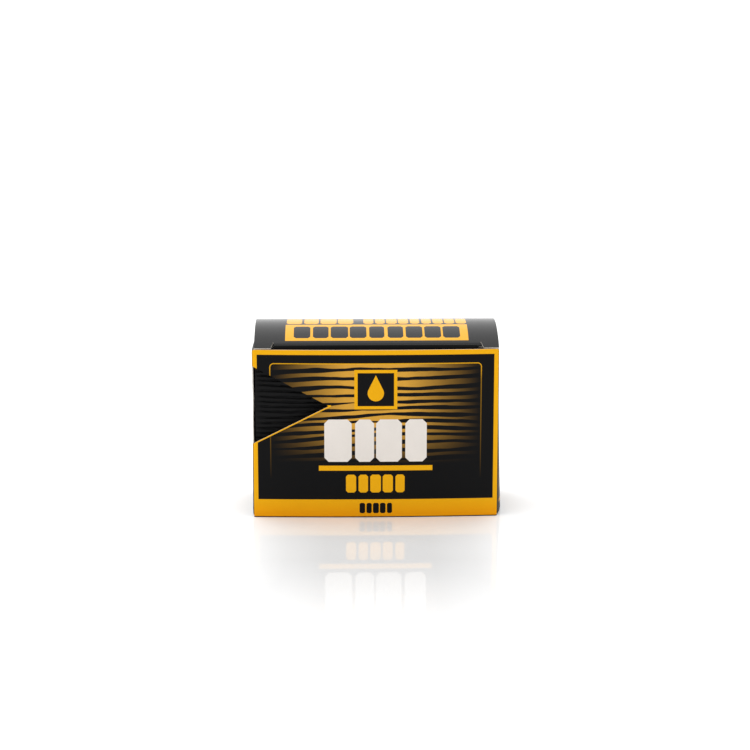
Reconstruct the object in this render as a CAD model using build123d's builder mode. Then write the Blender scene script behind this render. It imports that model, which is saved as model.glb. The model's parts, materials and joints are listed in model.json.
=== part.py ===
"""Clay block in a reverse-tuck folding carton with a triangular corner window.

Frame: X is the carton's width, the front panel faces -Y, +Z is up.
The origin is on the resting face, under the middle of the carton. Millimetres.
"""

import os
from math import cos, radians, sin, tan

from build123d import *

# ---- driving dimensions ---------------------------------------------------
WIDTH = 100.0  # between the two front folds
DEPTH = 44.0  # between the front and back folds
HEIGHT = 69.5  # resting face to the front panel's free top edge
BOARD = 0.45  # caliper of the carton board
GAP = 0.10  # air between two stacked boards
WALL_CLEARANCE = 0.05  # the front and back panels stand this far above the base panel
TOP_DUST_DROP = 1.0  # top dust flaps below the front panel's top edge

FRONT_BOW = (1.5, 2.3)  # how far the front bulges, at its bottom and top edge
BACK_BOW = (2.3, 0.0)
LEFT_BOW = (1.1, 0.3)  # the window side is pulled flatter
RIGHT_BOW = (3.0, 0.5)

LID_RISE = 9.1  # crown of the arched lid above the front panel's top edge
LID_CROWN_Y = 0.5  # where the crown lies
RIM_RISE = 1.47  # front fold of the lid above the front panel's top edge
LID_WIDTH = 99.0
LID_SHIFT = 0.4  # the closed lid sits a little towards +X
RIM_SETBACK = 1.15  # that fold behind the inside of the front panel

BASE_WIDTH = 99.6
BASE_SETBACK = 0.35  # rear fold of the base before the inside of the back panel

TUCK_LENGTH = 11.0
TUCK_LEAN = 6.0  # degrees that a tucked flap leans inwards
TUCK_WIDTH = 97.6
TUCK_CORNER = 8.0

DUST_LENGTH = 18.5
DUST_EDGE_SETBACK = 3.5  # free edge of a dust flap behind the fold it tucks under
DUST_EAR = 1.8  # short slope between that edge and the crease
DUST_HINGE_GAP = 0.55  # crease ends this far from the side panel's end
DUST_TAPER = 34.0  # degrees of the edge beside the main crease
DUST_CORNER = 3.0

WINDOW_LOW, WINDOW_HIGH = 30.8, 62.8  # where the window meets the corner fold
WINDOW_TIP_Z = 46.5
WINDOW_REACH = 31.0  # across the front panel
WINDOW_RETURN = 13.0  # across the left side panel

BLOCK_WIDTH = 98.0
BLOCK_FRONT, BLOCK_BACK = -18.4, 18.4
BLOCK_HEIGHT = 65.4
CLAY_THICKNESS = 4.2
BOND_THICKNESS = 0.4
BLOCK_CORNER = 1.2
GROOVE_PITCH = 2.05
GROOVE_DEPTH, GROOVE_HEIGHT = 0.6, 0.35

GLUE_FLAP_WIDTH = 13.0
GLUE_FLAP_BOTTOM = 14.0  # above the tip of the base tuck flap
GLUE_FLAP_TAPER = 4.0
GLUE_FLAP_TOP_DROP = 3.0  # below the top of the side panels
GLUE_FILM = 0.03  # between the glue flap and the back panel

CUT_MARGIN = 5.0  # how far a cutting prism runs past the board it cuts

# ---- derived places -------------------------------------------------------
BASE_TOP = BOARD
BASE_DUST_Z = BASE_TOP + GAP
SIDE_BOTTOM = BASE_DUST_Z + BOARD
BLOCK_BOTTOM = SIDE_BOTTOM + GAP
BACK_TOP = HEIGHT
TOP_DUST_Z = HEIGHT - TOP_DUST_DROP
WALL_BOTTOM = BASE_TOP + WALL_CLEARANCE
FOLD_X = WIDTH / 2
FOLD_Y = DEPTH / 2
RIM_Y = -FOLD_Y + BOARD + RIM_SETBACK
BASE_REAR_Y = FOLD_Y - BOARD - BASE_SETBACK
INNER_SIDE_X = FOLD_X - BOARD


def bowed_wall(bows, z_low, z_high, half_length, thickness=BOARD, inset=0.0):
    """A board standing on edge along X, its outside bulging towards -Y.

    bows are the bulge at the wall's nominal bottom and top; inset moves it inwards.
    """
    with BuildPart() as wall:
        for z, bow in ((z_low, bows[0]), (z_high, bows[1])):
            with BuildSketch(Plane.XY.offset(z)):
                with BuildLine():
                    ends = [(side * half_length, inset) for side in (-1, 1)]
                    inner_ends = [(x, y + thickness) for x, y in ends]
                    if bow > 0:
                        ThreePointArc(ends[0], (0, inset - bow), ends[1])
                        ThreePointArc(inner_ends[1], (0, inset + thickness - bow), inner_ends[0])
                    else:
                        Line(ends[0], ends[1])
                        Line(inner_ends[1], inner_ends[0])
                    Line(ends[1], inner_ends[1])
                    Line(inner_ends[0], ends[0])
                make_face()
        loft(ruled=True)
    return wall.part


def window_cutter():
    """A prism through the corner fold: a long triangle in front, a short one on the side."""

    def outline(fold, reach):
        """The triangle's corners, its open side carried past the fold."""
        outside = fold - CUT_MARGIN
        tip = (fold + reach, WINDOW_TIP_Z)
        low, high = (fold, WINDOW_LOW), (fold, WINDOW_HIGH)
        return (outside, WINDOW_LOW), low, tip, high, (outside, WINDOW_HIGH)

    with BuildPart() as front_cut:
        with BuildSketch(Plane.XZ.offset(FOLD_Y - CUT_MARGIN)):
            Polygon(*outline(-FOLD_X, WINDOW_REACH), align=None)
        extrude(amount=2 * CUT_MARGIN)
    with BuildPart() as side_cut:
        with BuildSketch(Plane.YZ.offset(-FOLD_X - CUT_MARGIN)):
            Polygon(*outline(-FOLD_Y, WINDOW_RETURN), align=None)
        extrude(amount=2 * CUT_MARGIN)
    return front_cut.part, side_cut.part


front_window, side_window = window_cutter()

# ---- sleeve ---------------------------------------------------------------
with BuildPart() as front_panel:
    with Locations((0, -FOLD_Y, 0)):
        add(bowed_wall(FRONT_BOW, WALL_BOTTOM, HEIGHT, FOLD_X))
    add(front_window, mode=Mode.SUBTRACT)

with BuildPart() as back_panel:
    with Locations(Location((0, FOLD_Y, 0), (0, 0, 180))):
        add(bowed_wall(BACK_BOW, WALL_BOTTOM, BACK_TOP, FOLD_X))

side_half_length = FOLD_Y - BOARD - GAP
with BuildPart() as left_side_panel:
    with Locations(Location((-FOLD_X, 0, 0), (0, 0, -90))):
        add(bowed_wall(LEFT_BOW, SIDE_BOTTOM, TOP_DUST_Z, side_half_length))
    add(side_window, mode=Mode.SUBTRACT)

with BuildPart() as right_side_panel:
    with Locations(Location((FOLD_X, 0, 0), (0, 0, 90))):
        add(bowed_wall(RIGHT_BOW, SIDE_BOTTOM, TOP_DUST_Z, side_half_length))

glue_outer_x = INNER_SIDE_X - GAP
glue_top = TOP_DUST_Z - GLUE_FLAP_TOP_DROP
with BuildPart() as glue_flap:
    with Locations(Location((0, FOLD_Y, 0), (0, 0, 180))):
        add(bowed_wall(BACK_BOW, WALL_BOTTOM, BACK_TOP, FOLD_X, inset=BOARD + GLUE_FILM))
    with BuildSketch(Plane.XZ.offset(-FOLD_Y - CUT_MARGIN)):
        Polygon(
            (glue_outer_x, GLUE_FLAP_BOTTOM),
            (glue_outer_x, glue_top),
            (glue_outer_x - GLUE_FLAP_WIDTH, glue_top - GLUE_FLAP_TAPER),
            (glue_outer_x - GLUE_FLAP_WIDTH, GLUE_FLAP_BOTTOM + GLUE_FLAP_TAPER),
            align=None,
        )
    extrude(amount=2 * CUT_MARGIN, mode=Mode.INTERSECT)

# ---- top closure ----------------------------------------------------------
lid_rear = (FOLD_Y, BACK_TOP)
lid_crown = (LID_CROWN_Y, HEIGHT + LID_RISE - BOARD)
lid_rim = (RIM_Y, HEIGHT + RIM_RISE)

with BuildPart() as lid_panel:
    with BuildSketch(Plane.YZ.offset(LID_SHIFT - LID_WIDTH / 2)):
        with BuildLine():
            underside = ThreePointArc(lid_rear, lid_crown, lid_rim)
            stretch = 1 + BOARD / underside.radius
            centre = underside.arc_center
            outside = [centre + (underside @ t - centre) * stretch for t in (1, 0.5, 0)]
            ThreePointArc(*outside)
            Line(underside @ 1, outside[0])
            Line(outside[2], underside @ 0)
        make_face()
    extrude(amount=LID_WIDTH)


def tuck_flap(fold_y, fold_z, inward):
    """A flap that leans inwards from its fold; inward is the sign of Y that points inside.

    The lid's flap (inward = 1) hangs from its fold and the base's (-1) stands on it.
    """
    lean = radians(TUCK_LEAN)
    face = Plane(
        origin=(0, fold_y, fold_z),
        x_dir=(1, 0, 0),
        z_dir=(0, inward * cos(lean), inward * sin(lean)),
    )
    half, fold_gap = TUCK_WIDTH / 2, 1.5 * GAP
    with BuildPart() as flap:
        with BuildSketch(face):
            with BuildLine():
                FilletPolyline(
                    (-half, fold_gap),
                    (-half, TUCK_LENGTH),
                    (half, TUCK_LENGTH),
                    (half, fold_gap),
                    radius=TUCK_CORNER,
                )
                Line((half, fold_gap), (-half, fold_gap))
            make_face()
        extrude(amount=BOARD)
    return flap.part


def dust_flap(side, hinge_side, bow, z_low):
    """A side flap whose crease follows the bulge of its side panel.

    side is the sign of X of its crease, hinge_side the sign of Y of the closure's main crease.
    """

    def crease(y):
        """A point on the crease."""
        return side * (FOLD_X + bow * (1 - (y / side_half_length) ** 2)), hinge_side * y

    free_x = side * (FOLD_X - DUST_LENGTH)
    tuck_edge_y = -FOLD_Y + DUST_EDGE_SETBACK
    tuck_end_y = tuck_edge_y - DUST_EAR
    hinge_end_y = side_half_length - DUST_HINGE_GAP
    taper_y = hinge_end_y - DUST_LENGTH * tan(radians(DUST_TAPER))
    with BuildPart() as flap:
        with BuildSketch(Plane.XY.offset(z_low)):
            with BuildLine():
                ThreePointArc(crease(tuck_end_y), crease(0), crease(hinge_end_y))
                FilletPolyline(
                    crease(hinge_end_y),
                    (free_x, hinge_side * taper_y),
                    (free_x, hinge_side * tuck_edge_y),
                    (side * (FOLD_X - DUST_EAR), hinge_side * tuck_edge_y),
                    radius=DUST_CORNER,
                )
                Line((side * (FOLD_X - DUST_EAR), hinge_side * tuck_edge_y), crease(tuck_end_y))
            make_face()
        extrude(amount=BOARD)
    return flap.part


with BuildPart() as lid_tuck_flap:
    add(tuck_flap(*lid_rim, inward=1))

with BuildPart() as top_dust_flap_left:
    add(dust_flap(-1, 1, LEFT_BOW[1], TOP_DUST_Z))

with BuildPart() as top_dust_flap_right:
    add(dust_flap(1, 1, RIGHT_BOW[1], TOP_DUST_Z))

# ---- bottom closure -------------------------------------------------------
with BuildPart() as base_panel:
    with BuildSketch():
        with BuildLine():
            half = BASE_WIDTH / 2
            ThreePointArc((-half, -FOLD_Y), (0, -FOLD_Y - FRONT_BOW[0]), (half, -FOLD_Y))
            Polyline((half, -FOLD_Y), (half, BASE_REAR_Y), (-half, BASE_REAR_Y), (-half, -FOLD_Y))
        make_face()
    extrude(amount=BOARD)

with BuildPart() as base_tuck_flap:
    add(tuck_flap(BASE_REAR_Y, BASE_TOP, inward=-1))

with BuildPart() as base_dust_flap_left:
    add(dust_flap(-1, -1, LEFT_BOW[0], BASE_DUST_Z))

with BuildPart() as base_dust_flap_right:
    add(dust_flap(1, -1, RIGHT_BOW[0], BASE_DUST_Z))

# ---- contents -------------------------------------------------------------
bond_front = BLOCK_FRONT + CLAY_THICKNESS
foam_front = bond_front + BOND_THICKNESS


def slab(y_front, y_back):
    """A plate of the block's full face between two depths."""
    with BuildPart() as plate:
        with BuildSketch(Plane.XZ.offset(-y_back)):
            with Locations((0, BLOCK_BOTTOM + BLOCK_HEIGHT / 2)):
                RectangleRounded(BLOCK_WIDTH, BLOCK_HEIGHT, BLOCK_CORNER)
        extrude(amount=y_back - y_front)
    return plate.part


with BuildPart() as foam_body:
    add(slab(foam_front, BLOCK_BACK))
    fillet(foam_body.faces().sort_by(Axis.Y)[-1].edges(), BLOCK_CORNER)

with BuildPart() as bond_layer:
    add(slab(bond_front, foam_front))

with BuildPart() as clay_pad:
    add(slab(BLOCK_FRONT, bond_front))
    groove_count = int(BLOCK_HEIGHT / GROOVE_PITCH) - 1
    with BuildSketch(Plane.YZ.offset(-BLOCK_WIDTH / 2)):
        with Locations((BLOCK_FRONT, BLOCK_BOTTOM + BLOCK_HEIGHT / 2)):
            with GridLocations(0, GROOVE_PITCH, 1, groove_count):
                Rectangle(2 * GROOVE_DEPTH, GROOVE_HEIGHT)
    extrude(amount=BLOCK_WIDTH, mode=Mode.SUBTRACT)

# ---- export ---------------------------------------------------------------
pieces = {
    "front_panel": front_panel,
    "back_panel": back_panel,
    "left_side_panel": left_side_panel,
    "right_side_panel": right_side_panel,
    "glue_flap": glue_flap,
    "lid_panel": lid_panel,
    "lid_tuck_flap": lid_tuck_flap,
    "top_dust_flap_left": top_dust_flap_left,
    "top_dust_flap_right": top_dust_flap_right,
    "base_panel": base_panel,
    "base_tuck_flap": base_tuck_flap,
    "base_dust_flap_left": base_dust_flap_left,
    "base_dust_flap_right": base_dust_flap_right,
    "foam_body": foam_body,
    "bond_layer": bond_layer,
    "clay_pad": clay_pad,
}
os.makedirs("parts", exist_ok=True)
for name, piece in pieces.items():
    piece.part.label = name
    export_step(piece.part, f"parts/{name}.step")
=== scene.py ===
"""A clay block in its printed folding carton: folded boards, inks, foam grip, grooved clay."""

import json
import math

import bmesh
import bpy
import numpy as np
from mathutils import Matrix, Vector


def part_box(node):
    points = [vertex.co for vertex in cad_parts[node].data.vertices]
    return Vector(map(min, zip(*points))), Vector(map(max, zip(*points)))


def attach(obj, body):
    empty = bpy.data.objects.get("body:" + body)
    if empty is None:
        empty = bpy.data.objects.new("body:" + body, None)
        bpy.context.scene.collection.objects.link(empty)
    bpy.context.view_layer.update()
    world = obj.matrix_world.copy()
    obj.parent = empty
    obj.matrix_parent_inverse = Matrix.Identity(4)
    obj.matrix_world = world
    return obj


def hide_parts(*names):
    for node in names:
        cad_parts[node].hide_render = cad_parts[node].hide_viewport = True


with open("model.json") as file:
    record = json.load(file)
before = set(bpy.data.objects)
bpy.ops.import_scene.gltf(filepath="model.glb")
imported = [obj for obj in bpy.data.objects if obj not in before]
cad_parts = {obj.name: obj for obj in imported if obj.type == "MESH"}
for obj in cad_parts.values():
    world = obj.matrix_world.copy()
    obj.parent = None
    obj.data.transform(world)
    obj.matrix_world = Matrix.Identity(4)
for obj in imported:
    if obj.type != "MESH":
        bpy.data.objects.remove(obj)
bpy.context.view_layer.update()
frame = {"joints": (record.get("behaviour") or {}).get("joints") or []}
MM = 0.001


# ---- places read from the frame, in millimetres ----------------------------
def span(node):
    """A node's lowest and highest corner in millimetres."""
    low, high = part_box(node)
    return [c / MM for c in low], [c / MM for c in high]


def joint_place(name):
    """Where a joint's axis lies, in millimetres."""
    joint = next(j for j in frame["joints"] if j["name"] == name)
    return [c / MM for c in joint["pos_m"]]


BOARD = 0.45
FRONT_LOW, FRONT_HIGH = span("front_panel")
BACK_LOW, BACK_HIGH = span("back_panel")
HALF_WIDTH = FRONT_HIGH[0]
FOLD_Y = BACK_LOW[1] + BOARD
HEIGHT = FRONT_HIGH[2]
FRONT_BOW = (-span("base_panel")[0][1] - FOLD_Y, -FRONT_LOW[1] - FOLD_Y)
BACK_BOW = (BACK_HIGH[1] - FOLD_Y, 0.0)
SIDE_BOW = {
    -1: tuple(-span(f"{end}_dust_flap_left")[0][0] - HALF_WIDTH for end in ("base", "top")),
    1: tuple(span(f"{end}_dust_flap_right")[1][0] - HALF_WIDTH for end in ("base", "top")),
}
SIDE_LOW_Z = span("right_side_panel")[0][2]
SIDE_HIGH_Z = span("right_side_panel")[1][2]
LID_LOW, LID_HIGH = span("lid_panel")
LID_HINGE = joint_place("lid_hinge")
LID_RIM = joint_place("lid_tuck_fold")
BASE_REAR = joint_place("base_tuck_fold")
TUCK_LEAN = math.radians(6.0)
TUCK_LENGTH = 11.0
TUCK_HALF_WIDTH = span("lid_tuck_flap")[1][0]
SLIT_LEFT, SLIT_RIGHT = -41.35, 42.65
TUCK_EAR = 7.6

WINDOW_LOW, WINDOW_HIGH, WINDOW_TIP = 30.8, 62.8, 46.5
WINDOW_REACH, WINDOW_RETURN = 31.0, 13.0
CORNER_ROUND = 0.7
BOTTOM_ROUND = 0.6
SEAM = 0.06


# ---- small helpers ----------------------------------------------------------
def mix(a, b, t):
    return a + (b - a) * t


def rounded_outline(corners, steps=6):
    """A closed outline of (u, v) points from corners (u, v, radius)."""
    points = []
    count = len(corners)
    for i, (u, v, radius) in enumerate(corners):
        here = Vector((u, v))
        if radius <= 0:
            points.append((u, v))
            continue
        before = (Vector(corners[i - 1][:2]) - here).normalized()
        after = (Vector(corners[(i + 1) % count][:2]) - here).normalized()
        half_angle = before.angle(after) / 2
        reach = radius / math.tan(half_angle)
        centre = here + (before + after).normalized() * radius / math.sin(half_angle)
        start, end = here + before * reach - centre, here + after * reach - centre
        sweep = start.angle_signed(end)
        for k in range(steps + 1):
            turn = -sweep * k / steps
            c, s = math.cos(turn), math.sin(turn)
            spoke = (start.x * c - start.y * s, start.x * s + start.y * c)
            points.append((centre.x + spoke[0], centre.y + spoke[1]))
    return points


def steps_between(low, high, pitch):
    count = max(2, round((high - low) / pitch))
    return [low + (high - low) * i / count for i in range(count + 1)]


def flat_sheet(outline, u_cuts, v_cuts):
    """The outline as a flat face, cut along every u and v so that it can bend."""
    flat = bmesh.new()
    flat.faces.new([flat.verts.new((u, v, 0)) for u, v in outline])
    for axis, cuts in ((0, u_cuts), (1, v_cuts)):
        normal = Vector((axis == 0, axis == 1, 0))
        for cut in cuts:
            parts = flat.verts[:] + flat.edges[:] + flat.faces[:]
            bmesh.ops.bisect_plane(
                flat, geom=parts, dist=1e-5, plane_co=normal * cut, plane_no=normal
            )
    bmesh.ops.remove_doubles(flat, verts=flat.verts, dist=1e-4)
    flat.normal_update()
    for face in flat.faces:
        if face.normal.z < 0:
            face.normal_flip()
    flat.verts.index_update()
    return flat


def outward(surface, u, v):
    """The unit normal of a surface that maps (u, v) to a point on the board's outside."""
    step = 0.02
    along_u = Vector(surface(u + step, v)) - Vector(surface(u - step, v))
    along_v = Vector(surface(u, v + step)) - Vector(surface(u, v - step))
    return along_u.cross(along_v).normalized()


def board(name, outline, surface, u_cuts, v_cuts, outside, body, node, folded):
    """A bent sheet of carton board: printed outside, bare inside, raw cut edges.

    surface maps flat (u, v) millimetres to the outside; u by v points outwards. folded(u, v)
    says where the rim is a fold, which stays printed.
    """
    flat = flat_sheet(outline, u_cuts, v_cuts)
    count = len(flat.verts)
    flats = [(v.co.x, v.co.y) for v in flat.verts]
    outer = [Vector(surface(u, v)) for u, v in flats]
    inner = [p - outward(surface, u, v) * BOARD for p, (u, v) in zip(outer, flats)]
    faces, slots = [], []
    for face in flat.faces:
        loop = [v.index for v in face.verts]
        faces.append(loop)
        slots.append(0)
        faces.append([i + count for i in reversed(loop)])
        slots.append(1)
    for edge in flat.edges:
        if len(edge.link_faces) == 1:
            loop = edge.link_loops[0]
            a, b = loop.vert.index, loop.link_loop_next.vert.index
            faces.append([b, a, a + count, b + count])
            middle = (loop.vert.co + loop.link_loop_next.vert.co) / 2
            slots.append(0 if folded(middle.x, middle.y) else 2)
    flat.free()
    mesh = bpy.data.meshes.new(name)
    mesh.from_pydata([p * MM for p in outer + inner], [], faces)
    mesh.polygons.foreach_set("material_index", slots)
    mesh.polygons.foreach_set("use_smooth", [True] * len(faces))
    print_map = mesh.uv_layers.new(name="print")
    for loop in mesh.loops:
        u, v = flats[loop.vertex_index % count]
        print_map.data[loop.index].uv = (u / 100, v / 100)
    for material in (outside, BARE_BOARD, CUT_EDGE):
        mesh.materials.append(material)
    mesh.set_sharp_from_angle(angle=math.radians(40))
    piece = bpy.data.objects.new(name, mesh)
    bpy.context.collection.objects.link(piece)
    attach(piece, body)
    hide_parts(node)
    return piece


# ---- node patterns ----------------------------------------------------------
class Value:
    """A number in a material's pattern, with arithmetic that makes Math nodes."""

    def __init__(self, tree, socket):
        self.tree, self.socket = tree, socket

    def math(self, operation, *others, clamp=False):
        node = self.tree.nodes.new("ShaderNodeMath")
        node.operation, node.use_clamp = operation, clamp
        for place, operand in enumerate((self, *others)):
            if isinstance(operand, Value):
                self.tree.links.new(operand.socket, node.inputs[place])
            else:
                node.inputs[place].default_value = operand
        return Value(self.tree, node.outputs[0])

    def __add__(self, other):
        return self.math("ADD", other)

    def __sub__(self, other):
        return self.math("SUBTRACT", other)

    def __mul__(self, other):
        return self.math("MULTIPLY", other)

    def __truediv__(self, other):
        return self.math("DIVIDE", other)

    def __abs__(self):
        return self.math("ABSOLUTE")

    def flipped(self):
        return self.math("MULTIPLY_ADD", -1.0, 1.0)

    def floor(self):
        return self.math("FLOOR")

    def fraction(self):
        return self.math("FRACT")

    def most(self, other):
        return self.math("MAXIMUM", other)

    def least(self, other):
        return self.math("MINIMUM", other)

    def above(self, level, soft=0.08):
        """1 where this is over level, 0 under it, with a soft edge."""
        if isinstance(level, Value):
            return (self - level).above(0.0, soft)
        return self.math("MULTIPLY_ADD", 1 / soft, 0.5 - level / soft, clamp=True)

    def below(self, level, soft=0.08):
        return self.above(level, soft).flipped()

    def within(self, low, high, soft=0.08):
        """1 between two numbers."""
        return abs(self - (low + high) / 2).below((high - low) / 2, soft)

    def ramp(self, low, high):
        """0 at low, 1 at high, straight between."""
        return self.math("MULTIPLY_ADD", 1 / (high - low), -low / (high - low), clamp=True)


def print_place(tree):
    """The printed sheet's own (u, v) in millimetres."""
    source = tree.nodes.new("ShaderNodeUVMap")
    source.uv_map = "print"
    split = tree.nodes.new("ShaderNodeSeparateXYZ")
    tree.links.new(source.outputs[0], split.inputs[0])
    return Value(tree, split.outputs[0]) * 100, Value(tree, split.outputs[1]) * 100


def object_place(tree):
    source = tree.nodes.new("ShaderNodeTexCoord")
    return source.outputs["Object"]


def noise(tree, vector, scale, detail=3.0, roughness=0.55, distortion=0.0):
    """A noise texture as a Value, about 0 to 1."""
    node = tree.nodes.new("ShaderNodeTexNoise")
    node.inputs["Scale"].default_value = scale
    node.inputs["Detail"].default_value = detail
    node.inputs["Roughness"].default_value = roughness
    node.inputs["Distortion"].default_value = distortion
    tree.links.new(vector, node.inputs["Vector"])
    return Value(tree, node.outputs["Factor"] if "Factor" in node.outputs else node.outputs["Fac"])


def point(tree, x, y, z=0.0):
    """A vector made of three Values or numbers."""
    node = tree.nodes.new("ShaderNodeCombineXYZ")
    for place, part in enumerate((x, y, z)):
        if isinstance(part, Value):
            tree.links.new(part.socket, node.inputs[place])
        else:
            node.inputs[place].default_value = part
    return node.outputs[0]


def random_of(tree, number):
    """A fixed random number from 0 to 1 for each whole number."""
    node = tree.nodes.new("ShaderNodeTexWhiteNoise")
    node.noise_dimensions = "1D"
    tree.links.new(number.socket, node.inputs["W"])
    return Value(tree, node.outputs["Value"])


def rectangle(u, v, left, right, low, high, soft=0.08):
    return u.within(left, right, soft) * v.within(low, high, soft)


def rounded_rectangle(u, v, left, right, low, high, radius):
    """The distance outside a rounded rectangle's edge, less than 0 inside it."""
    across = abs(u - (left + right) / 2) - ((right - left) / 2 - radius)
    up = abs(v - (low + high) / 2) - ((high - low) / 2 - radius)
    outside_u, outside_v = across.most(0.0), up.most(0.0)
    corner = (outside_u * outside_u + outside_v * outside_v).math("SQRT")
    return corner + across.most(up).least(0.0) - radius


def ink(tree, base, colour, mask):
    """colour printed over base wherever mask is 1."""
    node = tree.nodes.new("ShaderNodeMix")
    node.data_type = "RGBA"
    tree.links.new(mask.socket, node.inputs["Factor"])
    if isinstance(base, tuple):
        node.inputs["A"].default_value = (*base, 1)
    else:
        tree.links.new(base, node.inputs["A"])
    if isinstance(colour, tuple):
        node.inputs["B"].default_value = (*colour, 1)
    else:
        tree.links.new(colour, node.inputs["B"])
    return node.outputs["Result"]


BLACK_INK = (0.0050, 0.0050, 0.0053)
YELLOW_INK = (0.82, 0.40, 0.005)
WARM_YELLOW = (0.82, 0.315, 0.001)
STREAK_INK = (0.64, 0.33, 0.045)
WHITE_INK = (0.78, 0.73, 0.68)


def start_material(name):
    material = bpy.data.materials.new(name)
    material.use_nodes = True
    tree = material.node_tree
    return material, tree, tree.nodes["Principled BSDF"]


def set_bump(tree, shader, height, distance, strength):
    node = tree.nodes.new("ShaderNodeBump")
    node.inputs["Distance"].default_value = distance
    node.inputs["Strength"].default_value = strength
    tree.links.new(height.socket, node.inputs["Height"])
    tree.links.new(node.outputs[0], shader.inputs["Normal"])


def laminated(name, artwork, gloss=0.22, specular=0.3):
    """Board with printed inks under a gloss film; artwork(tree, u, v) gives the ink colour."""
    material, tree, shader = start_material(name)
    u, v = print_place(tree)
    place = object_place(tree)
    colour = artwork(tree, u, v)
    cloud = noise(tree, place, 90, 4)
    fibre = noise(tree, place, 2600, 3, 0.7)
    peel = noise(tree, place, 650, 2)
    tint = tree.nodes.new("ShaderNodeHueSaturation")
    tree.links.new(colour, tint.inputs["Color"])
    tree.links.new((cloud * 0.10 + fibre * 0.06 + 0.92).socket, tint.inputs["Value"])
    tree.links.new(tint.outputs[0], shader.inputs["Base Color"])
    rough = cloud * 0.10 + fibre * 0.05 + (gloss - 0.07)
    tree.links.new(rough.socket, shader.inputs["Roughness"])
    shader.inputs["Specular IOR Level"].default_value = specular
    set_bump(tree, shader, peel * 0.6 + fibre * 0.4 + cloud * 3.0, 0.00002, 0.35)
    return material


def bar_row(tree, u, v, left, right, low, high, count, gap, chamfer):
    """A row of upright blocks with cut corners, each a little wider or narrower than the next."""
    place = (u - left) * (count / (right - left))
    number = place.floor()
    cell = (right - left) / count
    across = abs(place.fraction() - 0.5) * cell
    width = random_of(tree, number + 3.7) * (cell * 0.07) + cell * (0.5 - gap / 2 - 0.06)
    up = abs(v - (low + high) / 2)
    tall = (high - low) / 2
    block = across.below(width) * up.below(tall)
    cut = (width - across) + (up * -1.0 + tall)
    return block * cut.above(chamfer) * u.within(left, right)


def blocks(u, v, spans, low, high, chamfer):
    """Upright blocks with cut corners, one for each (left, right)."""
    up = abs(v - (low + high) / 2)
    row = None
    for left, right in spans:
        across = abs(u - (left + right) / 2)
        half = (right - left) / 2
        cut = (across + up).below(half + (high - low) / 2 - chamfer)
        block = across.below(half) * cut
        row = block if row is None else row.most(block)
    return row * up.below((high - low) / 2)


def streaks(tree, u, v):
    """Ink between long dark gaps that swell, tilt and taper to points."""
    drift = noise(tree, point(tree, u * 0.014, v * 0.035, 4.1), 1.0, 1, 0.5)
    waver = noise(tree, point(tree, u * 0.07, v * 0.35, 1.3), 1.0, 2, 0.5)
    row = (v + drift * 9.0 + waver * 1.1 - u * 0.016) / 3.0
    number = row.floor()
    seed = random_of(tree, number)
    swell = noise(tree, point(tree, u * 0.034 + seed * 60.0, number * 5.3, 2.0), 1.0, 1, 0.5)
    gap = swell.ramp(0.26, 0.52) * (seed * 0.12 + 0.22) + 0.008
    away = abs(row.fraction() - 0.5)
    return away.below(gap * -1.0 + 0.5, 0.045)


def drop_badge(u, v, middle_u, middle_v):
    """A plain water drop: a round foot under a pointed top."""
    radius, tip, foot_drop = 3.3, 7.4, 1.5
    across, up = abs(u - middle_u), v - (middle_v - foot_drop)
    touch = radius**2 / tip
    slope = math.sqrt(radius**2 - touch**2) / (tip - touch)
    foot = (across * across + up * up).math("SQRT").below(radius)
    point_top = across.below((up * -slope + tip * slope), 0.1) * up.above(touch)
    return foot.most(point_top)


FRAME = (-42.75, 42.75, 10.0, 63.9, 1.6)  # left, right, low, high, corner radius
FRAME_LINE = 0.2
BORDER, BAND = 2.0, 7.6
BADGE_HALF, BADGE_LOW, BADGE_HIGH, BADGE_EDGE = 8.67, 45.2, 61.4, 1.3
TITLE_BLOCKS = ((-20.9, -9.8), (-8.4, -0.7), (0.1, 10.6), (12.0, 20.7))
TITLE_LOW, TITLE_HIGH, TITLE_CHAMFER = 23.4, 41.0, 1.7
RULE = (-23.2, 23.1, 19.7, 21.8)
UNDER_RULE_BARS = (-12.6, 12.4, 10.5, 18.0, 5, 0.14, 0.8)
BAND_BARS = (-6.9, 7.0, 1.75, 6.1, 5, 0.14, 0.5)


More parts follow.
